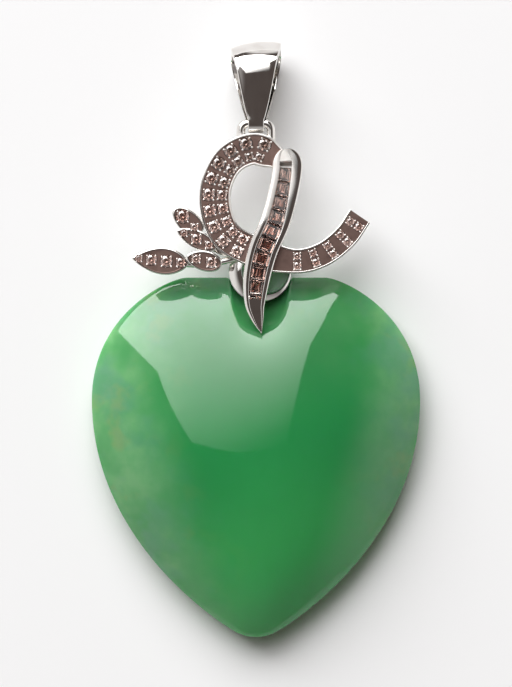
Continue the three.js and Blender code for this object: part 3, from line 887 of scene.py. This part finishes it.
ribbon_route = Route(raised([
    (7.6, 4.44), (6.6, 3.0), (4.9, 1.66), (2.9, 1.16), (-0.7, 2.1), (-2.2, 3.1), (-2.94, 5.0),
    (-2.86, 6.9), (-1.86, 8.64), (-0.14, 9.38), (1.05, 8.95), (1.95, 8.35),
]))
strand_route = Route(raised([
    (2.2, 9.35), (2.3, 8.0), (1.96, 6.0), (1.4, 4.0), (0.54, 2.0), (0.06, 0), (-0.08, -2.0),
    (0.1, -3.0), (0.4, -4.1),
]))
print("ribbon and strand:", round(ribbon_route.length, 2), round(strand_route.length, 2), "mm long")


# %% The tray section
def tray(width, left, right, thickness, floor, lean=0.0):
    """A floor between two rails with rounded tops. The left rail's top leans down to the outside, and so
    does the outer half of the right one's."""
    half = width / 2
    edge = min(0.16, 0.42 * min(left, right))
    inner = 0.4 * edge
    fall = [lean * left, 1.3 * lean * right]
    return [
        *corner((-half + edge, edge), edge, 180, 270, 3),
        *corner((half - edge, edge), edge, 270, 360, 3),
        *corner((half - edge, thickness - fall[1] - edge), edge, 0, 75, 6),
        (half - 0.5 * right, thickness),
        *corner((half - right + inner, thickness - inner), inner, 90, 180, 3),
        (half - right, floor),
        (-half + left, floor),
        *corner((-half + left - inner, thickness - inner), inner, 0, 90, 3),
        *corner((-half + edge, thickness - fall[0] - edge), edge, 90, 180, 6),
    ]


def strip(name, route, steps, sizes, bottom_at):
    """The tray carried along a route."""
    rings = []
    for i in range(steps + 1):
        share = i / steps
        middle, across = route.at(share), route.across(share)
        bottom = bottom_at(share)
        rings.append([
            (middle.x - across.x * x, middle.y - across.y * x, bottom + z) for x, z in tray(*sizes(share))
        ])
    return loft(name, rings)


# %% [markdown]
# ## The ribbon
#
# The ribbon starts at a square-cut tail, passes behind the strand, loops over and ends under the strand's
# head. Its two rows of diamonds stand between thin polished rails. The seats are cut with one boolean
# after the strip is made, because a goldsmith drills them after casting too.

# %% Ribbon
RIBBON_WIDTH = 2.3
RIBBON_THICKNESS = 1.2
RIBBON_RAIL = 0.15
TAIL_WIDTH = 1.8
RIBBON_END_WIDTH = 1.4
PAVE_RECESS = 0.12
TAIL_SHARE = 0.27
LOOP_SHARE = 0.45
HEAD_SHARE = 0.92
RIBBON_FLOOR = RIBBON_THICKNESS - PAVE_RECESS


def ribbon_sizes(share):
    loop_width = mix(TAIL_WIDTH, RIBBON_WIDTH, ease(TAIL_SHARE, LOOP_SHARE - 0.05, share))
    width = mix(loop_width, RIBBON_END_WIDTH, ease(HEAD_SHARE, 1, share))
    return width, RIBBON_RAIL, RIBBON_RAIL, RIBBON_THICKNESS, RIBBON_FLOOR


ribbon_mesh = strip("ribbon", ribbon_route, 260, ribbon_sizes, lambda share: SURMOUNT_BOTTOM)
print("ribbon faces:", len(ribbon_mesh.polygons))

# %% [markdown]
# ## The strand
#
# The strand begins in a round head at the top of the loop and ends in a point over the stone. Its
# underside follows the dome in an even sweep, so it rests on the jade from every side. The heights are
# read from the finished heart, and a running highest value followed by a running mean keeps the sweep
# clear of the stone.

# %% Strand
STRAND_WIDTH = 2.2
STRAND_HEAD = 0.95
STRAND_THICKNESS = 1.3
STRAND_TIP = 0.5
STRAND_LEAN = 0.15
CHANNEL_DEPTH = 0.55
CHANNEL_START = 0.09
CHANNEL_END = 0.8
REST_GAP = 0.03
STRAND_LIFT = SURMOUNT_BOTTOM + RIBBON_THICKNESS - 0.45
SWEEP_STEPS = 40
SWEEP_REACH = 4


def strand_sizes(share):
    head = math.sqrt(1 - (1 - min(1, (share + 0.004) / 0.09)) ** 2)
    tip = max(0.04, 1 - share ** 6.5)
    width = STRAND_WIDTH * head * tip
    left = width * mix(0.36, 0.2, ease(0.1, 0.5, share))
    right = width * 0.24
    thickness = mix(STRAND_HEAD, STRAND_THICKNESS, min(1, share / 0.5))
    thickness = mix(thickness, STRAND_TIP, ease(0.7, 1, share))
    opened = ease(CHANNEL_START - 0.03, CHANNEL_START, share)
    closed = ease(CHANNEL_END, CHANNEL_END + 0.02, share)
    floor = thickness - max(0.03, CHANNEL_DEPTH * opened * (1 - closed))
    return width, left, right, thickness, floor, STRAND_LEAN


def clear_height(share):
    """The lowest that the strand's underside may lie at a place."""
    middle, across = strand_route.at(share), strand_route.across(share)
    width = strand_sizes(share)[0]
    heights = []
    for side in (-0.5, 0, 0.5):
        place = middle + across * width * side
        heights.append(height_of_heart(place.x, place.y) + REST_GAP)
    return max(STRAND_LIFT, *heights)


def swept_bottoms():
    clear = [clear_height(i / SWEEP_STEPS) for i in range(SWEEP_STEPS + 1)]

    def around(values, i):
        return values[max(0, i - SWEEP_REACH):i + SWEEP_REACH + 1]

    highest = [max(around(clear, i)) for i in range(len(clear))]
    return [max(low, sum(around(highest, i)) / len(around(highest, i))) for i, low in enumerate(clear)]


strand_bottoms = swept_bottoms()


def strand_bottom(share):
    return float(np.interp(share * SWEEP_STEPS, range(SWEEP_STEPS + 1), strand_bottoms))


strand_mesh = strip("strand", strand_route, 240, strand_sizes, strand_bottom)
print("strand underside:", round(strand_bottoms[0], 2), "to", round(strand_bottoms[-1], 2), "mm")

# %% [markdown]
# ## Leaves, stalks, collar and ring
#
# Each leaf is a plate with a raised rim round a set floor. The stalks and the ring at the top are round
# wire. The collar is a turned plate in the cleft, pierced off its centre, so that it is broad on the left
# and a thin bright line on the right, with the jade lug showing inside.

# %% Leaves
LEAF_THICKNESS = 0.95
LEAF_STEP = 0.05
LEAF_RIM = 0.13
LEAF_EDGE = 0.1
LEAVES = [
    {"base": (-4.9, 1.0), "tip": (-9.1, 1.4), "width": 2.0, "fullness": 0.75},
    {"base": (-4.0, 3.2), "tip": (-6.0, 5.0), "width": 1.6, "fullness": 0.4},
    {"base": (-2.9, 2.1), "tip": (-5.8, 3.45), "width": 1.35, "fullness": 0.6},
    {"base": (-2.5, 0.9), "tip": (-5.1, 1.5), "width": 1.5, "fullness": 0.5},
]


def leaf_bottom(number):
    return SURMOUNT_BOTTOM + (number + 1) * LEAF_STEP


def leaf_plate(leaf, number):
    start, end = [Vector(p) for p in raised([leaf["base"], leaf["tip"]])]
    length = (end - start).length
    along = (end - start).normalized()
    across = Vector((-along.y, along.x))
    steps = 36

    def half_width(share):
        return leaf["width"] / 2 * math.sin(math.pi * share ** 0.85) ** leaf["fullness"]

    def line(inset, height):
        points = []
        for sign in (1, -1):
            for i in range(steps):
                share = i / steps if sign > 0 else 1 - i / steps
                half = half_width(share)
                offset = max(0.12 * half, half - inset)
                kept = mix(inset / length, 1 - inset / length, share)
                place = start + along * kept * length + across * sign * offset
                points.append((place.x, place.y, height))
        return points

    bottom = leaf_bottom(number)
    top = bottom + LEAF_THICKNESS
    rings = [line(LEAF_EDGE, bottom)]
    for x, z in corner((LEAF_EDGE, top - LEAF_EDGE), LEAF_EDGE, 180, 90, 4):
        rings.append(line(x, z))
    rings.insert(1, line(0, bottom + LEAF_EDGE))
    rings.append(line(LEAF_RIM, top))
    rings.append(line(LEAF_RIM + 0.03, top - PAVE_RECESS))
    return loft("leaf", rings)


leaf_meshes = [leaf_plate(leaf, number) for number, leaf in enumerate(LEAVES)]
print("leaves:", len(leaf_meshes))


# %% Stalks, collar and ring
def wire(name, points, width, sides=16, steps=12):
    """A round wire through points in one plane parallel to the table, (x, y, z) each."""
    route = Route([(p[0], p[1]) for p in points])
    height = points[0][2]
    rings = []
    for i in range(steps + 1):
        middle, across = route.at(i / steps), route.across(i / steps)
        ring = []
        for j in range(sides):
            angle = 2 * math.pi * j / sides
            out, up = width / 2 * math.cos(angle), width / 2 * math.sin(angle)
            ring.append((middle.x + across.x * out, middle.y + across.y * out, height + up))
        rings.append(ring)
    return loft(name, rings)


STEM_WIDTH = 0.5
stem_height = SURMOUNT_BOTTOM + STEM_WIDTH / 2 + 0.1
stem_meshes = []
for points in (
    [(-5.4, 1.0), (-4.2, 0.95), (-2.8, 1.1), (-1.0, 1.5)],
    [(-4.6, 3.6), (-3.7, 2.6), (-2.6, 1.9), (-1.2, 1.6)],
):
    places = [(x, y, stem_height) for x, y in raised(points)]
    stem_meshes.append(wire("stalk", places, STEM_WIDTH, steps=24))


COLLAR_BOTTOM = BRIDGE_HEIGHT + SEAT_GAP
COLLAR_TOP = 3.5
COLLAR_FALL = 0.36
COLLAR_CROWN = 1.1


def collar_mesh():
    """A round plate that falls off to its rim, with an off-centre opening for the lug."""
    profile = [(0, COLLAR_BOTTOM), (COLLAR_RADIUS, COLLAR_BOTTOM)]
    steps = 14
    for i in range(steps + 1):
        radius = mix(COLLAR_RADIUS, COLLAR_CROWN, i / steps)
        share = (radius - COLLAR_CROWN) / (COLLAR_RADIUS - COLLAR_CROWN)
        profile.append((radius, COLLAR_TOP - COLLAR_FALL * share ** 2.4))
    profile.append((0, COLLAR_TOP))
    plate = lathe("collar", profile, 96)
    beyond = COLLAR_TOP + 1
    opening = lathe("opening", [(0, 0), (COLLAR_HOLE, 0), (COLLAR_HOLE, beyond), (0, beyond)], 96)
    opening.transform(Matrix.Translation((COLLAR_SHIFT, 0, 0)))
    made = boolean(plate, opening, "DIFFERENCE")
    made.transform(Matrix.Translation((COLLAR_OFFSET, COLLAR_Y, 0)))
    return made


RING_HALF_WIDTH = 1.1
RING_CORNER = 0.5
RING_LEGS = 1.3
RING_WIRE = 0.65
RING_Y = HEART_HEIGHT + 11.27
RING_Z = SURMOUNT_BOTTOM + RIBBON_THICKNESS / 2


def ring_mesh():
    straight = RING_HALF_WIDTH - RING_CORNER
    foot = RING_Y - RING_CORNER - RING_LEGS
    places = [(RING_HALF_WIDTH, foot)]
    for sign, start in ((1, 0), (-1, 90)):
        places += corner((sign * straight, RING_Y - RING_CORNER), RING_CORNER, start, start + 90, 6)
    places.append((-RING_HALF_WIDTH, foot))
    return wire("ring", [(x, y, RING_Z) for x, y in places], RING_WIRE, sides=24, steps=80)


collar = collar_mesh()
ring = ring_mesh()
print("collar radius", COLLAR_RADIUS, "mm, ring wire", RING_WIRE, "mm")

# %% [markdown]
# ## The bail
#
# The bail is a strap bent into a long loop round the ring: narrow where it hooks on, and wide at the crest
# where a chain passes. Goldsmiths crown such a strap, so its middle shines and its sides stay dark. Its
# section is therefore an arch, swept round the loop.

# %% Bail
BAIL_LENGTH = 6.378
HOOK_WIDTH = 1.15
CREST_WIDTH = 3.7
HOOK_THICKNESS = 0.33
CREST_THICKNESS = 0.5
HOOK_CLEARANCE = 0.05
CREST_RADIUS = 1.9
hook_middle = RING_WIRE / 2 + HOOK_CLEARANCE + HOOK_THICKNESS / 2
crest_middle = CREST_RADIUS + CREST_THICKNESS / 2
crest_place = BAIL_LENGTH - CREST_RADIUS - CREST_THICKNESS
leg_angle = math.acos((hook_middle - crest_middle) / crest_place)
bail_tilt = math.asin((RING_Z - CREST_RADIUS - CREST_THICKNESS) / crest_place)
TO_RING = Matrix.Translation((0, RING_Y, RING_Z)) @ Matrix.Rotation(-bail_tilt, 4, "X")


def bail_width(y):
    share = min(1, max(0, y / (BAIL_LENGTH - 0.6)))
    return mix(HOOK_WIDTH, CREST_WIDTH, share ** 0.8)


def bail_thickness(y):
    return mix(HOOK_THICKNESS, CREST_THICKNESS, min(1, max(0, y / crest_place)))


def bail_stations():
    """Places round the loop's middle line, each with the direction that points out of the loop."""
    stations = []

    def arc(centre, radius, start, end, steps):
        for i in range(steps + 1):
            angle = mix(start, end, i / steps)
            out = (math.cos(angle), math.sin(angle))
            stations.append((centre + radius * out[0], radius * out[1], out))

    def leg(sign, steps):
        out = (math.cos(leg_angle), sign * math.sin(leg_angle))
        ends = [(crest_place, crest_middle), (0, hook_middle)][::sign]
        for i in range(1, steps):
            place = mix(ends[0][0], ends[1][0], i / steps)
            radius = mix(ends[0][1], ends[1][1], i / steps)
            stations.append((place + radius * out[0], radius * out[1], out))

    arc(crest_place, crest_middle, -leg_angle, leg_angle, 44)
    leg(1, 26)
    arc(0, hook_middle, leg_angle, 2 * math.pi - leg_angle, 30)
    leg(-1, 26)
    return stations


CROWN_RISE = 0.21  # of the ridge above the strap's edges, as a share of its growth in half width
CROWN_SHIFT = 0.35  # of the ridge towards the right edge, as a share of half the width


def strap_section(width, thickness):
    """An arched strap with rounded edges, as (across, outward). Its ridge stands right of the middle."""
    half, deep = width / 2, thickness / 2

    def arch(x):
        return -CROWN_RISE * (half - HOOK_WIDTH / 2) * (x - CROWN_SHIFT) ** 2

    steps = 20
    round_edge = 0.08
    outer = []
    for i in range(steps + 1):
        x = mix(1, -1, i / steps)
        outer.append((x * (half - round_edge), deep + arch(x)))
    inner = [(x, z - thickness) for x, z in reversed(outer)]
    left = corner((outer[-1][0], outer[-1][1] - round_edge), round_edge, 90, 180, 4)
    right = corner((outer[0][0], outer[0][1] - round_edge), round_edge, 0, 90, 4)
    low_left = (-half, inner[0][1] + 0.02)
    low_right = (half, inner[-1][1] + 0.02)
    return [*outer[1:-1], *left, low_left, *inner, low_right, *right]


def bail_mesh():
    rings = []
    for y, z, out in bail_stations():
        section = strap_section(bail_width(y), bail_thickness(y))
        rings.append([(x, y + out[0] * lift, z + out[1] * lift) for x, lift in section])
    mesh = loft("bail", rings, closed=True)
    mesh.transform(TO_RING)
    return mesh


bail_shape = bail_mesh()
print("bail tilt:", round(math.degrees(bail_tilt), 1), "degrees")

# %% [markdown]
# ## Diamonds
#
# Round stones are cut with a table, eight stars, eight kites and a ring of small facets, over a cone of
# long facets below. Every corner of such a stone is easy to compute, and a convex hull over the corners
# gives the flat facets. Each stone takes its place and width from the construction. Oblong stones are
# step cut: rectangles that shrink in steps, from the girdle up to the table and down to the keel.

# %% Round stones
PAVILION = 0.43
CROWN = 0.15
TABLE = 0.56
STONE_GAP = 0.035


def hull(name, points):
    shape = bmesh.new()
    for point in points:
        shape.verts.new(point)
    made = bmesh.ops.convex_hull(shape, input=shape.verts)
    loose = {v for v in made["geom_interior"] + made["geom_unused"] if isinstance(v, bmesh.types.BMVert)}
    bmesh.ops.delete(shape, geom=list(loose), context="VERTS")
    bmesh.ops.dissolve_limit(shape, angle_limit=math.radians(0.5), verts=shape.verts, edges=shape.edges)
    bmesh.ops.recalc_face_normals(shape, faces=shape.faces)
    return as_mesh(name, shape)


def brilliant(name, width):
    """A round brilliant with its girdle at height 0."""
    radius = width / 2
    girdle = 0.012 * width

    def circle(share, height, count, turn):
        reach = share * radius
        angles = [2 * math.pi / count * (i + turn) for i in range(count)]
        return [(reach * math.cos(angle), reach * math.sin(angle), height) for angle in angles]

    return hull(name, [
        (0, 0, -PAVILION * width),
        *circle(0.52, -0.2 * width, 8, 0.5),
        *circle(1, -girdle, 16, 0),
        *circle(1, girdle, 16, 0),
        *circle(0.8, 0.088 * width, 8, 0),
        *circle(TABLE, CROWN * width, 8, 0.5),
    ])


round_nodes = sorted(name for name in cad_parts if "_diamond_" in name)
round_stones = {}
for name in round_nodes:
    low, high = [in_mm(corner_point) for corner_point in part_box(name)]
    width = high.x - low.x
    middle = (low + high) / 2
    round_stones[name] = (width, Vector((middle.x, middle.y, low.z + PAVILION * width)))
print("round stones:", len(round_nodes))

# %% Stones and seats of the surmount
GRAIN = 0.085


def round_seat(width):
    """What the drill takes away: a cone for the pavilion and an open top for the crown."""
    radius = width / 2 + STONE_GAP
    return lathe("seat", [
        (0, -PAVILION * width - 0.05),
        (radius, -STONE_GAP),
        (radius, 0.5 * width),
        (0, 0.5 * width),
    ], 24)


def grains(width, turn):
    """Four beads of metal pushed over a stone's edge."""
    made = []
    size = GRAIN * mix(0.8, 1.1, width)
    for i in range(4):
        angle = turn + math.pi / 2 * (i + 0.5)
        reach = width / 2 + 0.35 * size
        shape = bmesh.new()
        bmesh.ops.create_icosphere(shape, subdivisions=2, radius=size)
        place = Matrix.Translation((reach * math.cos(angle), reach * math.sin(angle), 0.15 * size))
        bmesh.ops.transform(shape, matrix=place @ Matrix.Diagonal((1, 1, 1.25, 1)), verts=shape.verts)
        made.append(as_mesh("grain", shape))
    return made


def moved(mesh, matrix):
    mesh.transform(matrix)
    return mesh


def ribbon_turn(place):
    """The direction of the ribbon beside a stone, as an angle."""
    shares = np.linspace(0, 1, 400)
    near = min(shares, key=lambda share: (ribbon_route.at(share) - place.xy).length)
    across = ribbon_route.across(near)
    return math.atan2(across.y, across.x)


surmount_seats = []
surmount_grains = []
stone_meshes = {}
for name, (width, girdle) in round_stones.items():
    turn = ribbon_turn(girdle) if not name.startswith("leaf") else 0.0
    place = Matrix.Translation(girdle) @ Matrix.Rotation(turn, 4, "Z")
    stone_meshes[name] = moved(brilliant(name, width), place)
    surmount_seats.append(moved(round_seat(width), place))
    surmount_grains += [moved(grain, Matrix.Translation(girdle)) for grain in grains(width, turn)]
print("seats:", len(surmount_seats), "grains:", len(surmount_grains))

# %% Oblong stones
BAGUETTE_HEIGHT = 0.48
BAGUETTE_GAP = 0.06
baguette_nodes = sorted(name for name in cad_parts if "_baguette_" in name)
baguette_gap = BAGUETTE_GAP / strand_route.length
baguette_reach = (CHANNEL_END - CHANNEL_START - 0.02 + baguette_gap) / len(baguette_nodes)
STEP_CUT = [(0.12, 0), (0.55, 0.2), (0.84, 0.45), (1, 0.62), (1, 0.7), (0.88, 0.87), (0.72, 1)]


def baguette(name, first, last):
    """One step-cut stone that fills its stretch of the channel."""
    rings = []
    for share, level in STEP_CUT:
        ring_points = []
        for place, sign in ((first, -1), (first, 1), (last, 1), (last, -1)):
            width, left, right, thickness, floor, lean = strand_sizes(place)
            drawn_in = mix((first + last) / 2, place, mix(1, share, 0.6))
            middle, across = strand_route.at(drawn_in), strand_route.across(place)
            half = (width - left - right) / 2 - STONE_GAP
            offset = (left - right) / 2 + sign * half * share
            z = strand_bottom(place) + floor + STONE_GAP + BAGUETTE_HEIGHT * level
            ring_points.append((middle.x - across.x * offset, middle.y - across.y * offset, z))
        rings.append(ring_points)
    return loft(name, rings)


for i, name in enumerate(baguette_nodes):
    first = CHANNEL_START + 0.01 + i * baguette_reach
    stone_meshes[name] = baguette(name, first, first + baguette_reach - baguette_gap)

for name, mesh in stone_meshes.items():
    stone = new_object(f"{name}_cut", mesh, [DIAMOND])
    set_in_place(stone, name)
print("all stones:", len(stone_meshes))

# %% [markdown]
# ## Casting the surmount
#
# The strips, leaves, stalks, collar and ring are soldered into one piece of metal, so they are joined by
# booleans into one mesh. Then the seats are cut and the grains are raised. The surface that the drill
# leaves and the sunk floors round the stones get the darker brown finish of painted shade, and the rest is
# polished.


# %% Surmount
def drilled(mesh, seats, beads):
    """Cuts the seats into a mesh and raises the beads beside them."""
    mesh = boolean(tagged(mesh, 0), tagged(joined_meshes("seats", seats), 1), "DIFFERENCE")
    for bead in beads:
        tagged(bead, 0)
    return joined_meshes(mesh.name, [mesh, *beads])


STRAIGHT_UP = 0.99
FLOOR_SPREAD = 0.004


def shaded_floors(mesh, heights):
    """Gives the sunk floors the painted-shade finish. They face straight up at the given heights."""
    for face in mesh.polygons:
        off = min(abs(face.center.z - height) for height in heights)
        if face.normal.z > STRAIGHT_UP and off < FLOOR_SPREAD:
            face.material_index = 1


metal_parts = [ribbon_mesh, strand_mesh, collar, ring, *leaf_meshes, *stem_meshes]
surmount_mesh = metal_parts[0]
for part in metal_parts[1:]:
    surmount_mesh = boolean(surmount_mesh, part, "UNION")
surmount_mesh = drilled(surmount_mesh, surmount_seats, surmount_grains)
leaf_floor = LEAF_THICKNESS - PAVE_RECESS
shaded_floors(surmount_mesh, [
    SURMOUNT_BOTTOM + RIBBON_FLOOR, *[leaf_bottom(number) + leaf_floor for number in range(len(LEAVES))],
])
smooth_by_angle(surmount_mesh, 34)
surmount = new_object("surmount_polished", surmount_mesh, [WHITE_GOLD, SHADED_SETTING])
set_in_place(surmount, "surmount")
print("surmount faces:", len(surmount_mesh.polygons))

# %% Bail
smooth_by_angle(bail_shape, 34)
bail = new_object("bail_polished", bail_shape, [WHITE_GOLD])
set_in_place(bail, "bail")
print("bail faces:", len(bail_shape.polygons))

# %% [markdown]
# ## Sizes, and the end
#
# Finer surfaces must not make the pendant bigger, so the boxes of the construction and of the dressed
# pendant are printed side by side.

# %% Print the sizes
dressed_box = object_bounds()
sizes = {
    "cad": [list(cad_box[0]), list(cad_box[1])],
    "visual": [list(dressed_box[0]), list(dressed_box[1])],
}
for label, box in sizes.items():
    print(label, "in mm:", [[round(v / MM, 3) for v in corner_point] for corner_point in box])
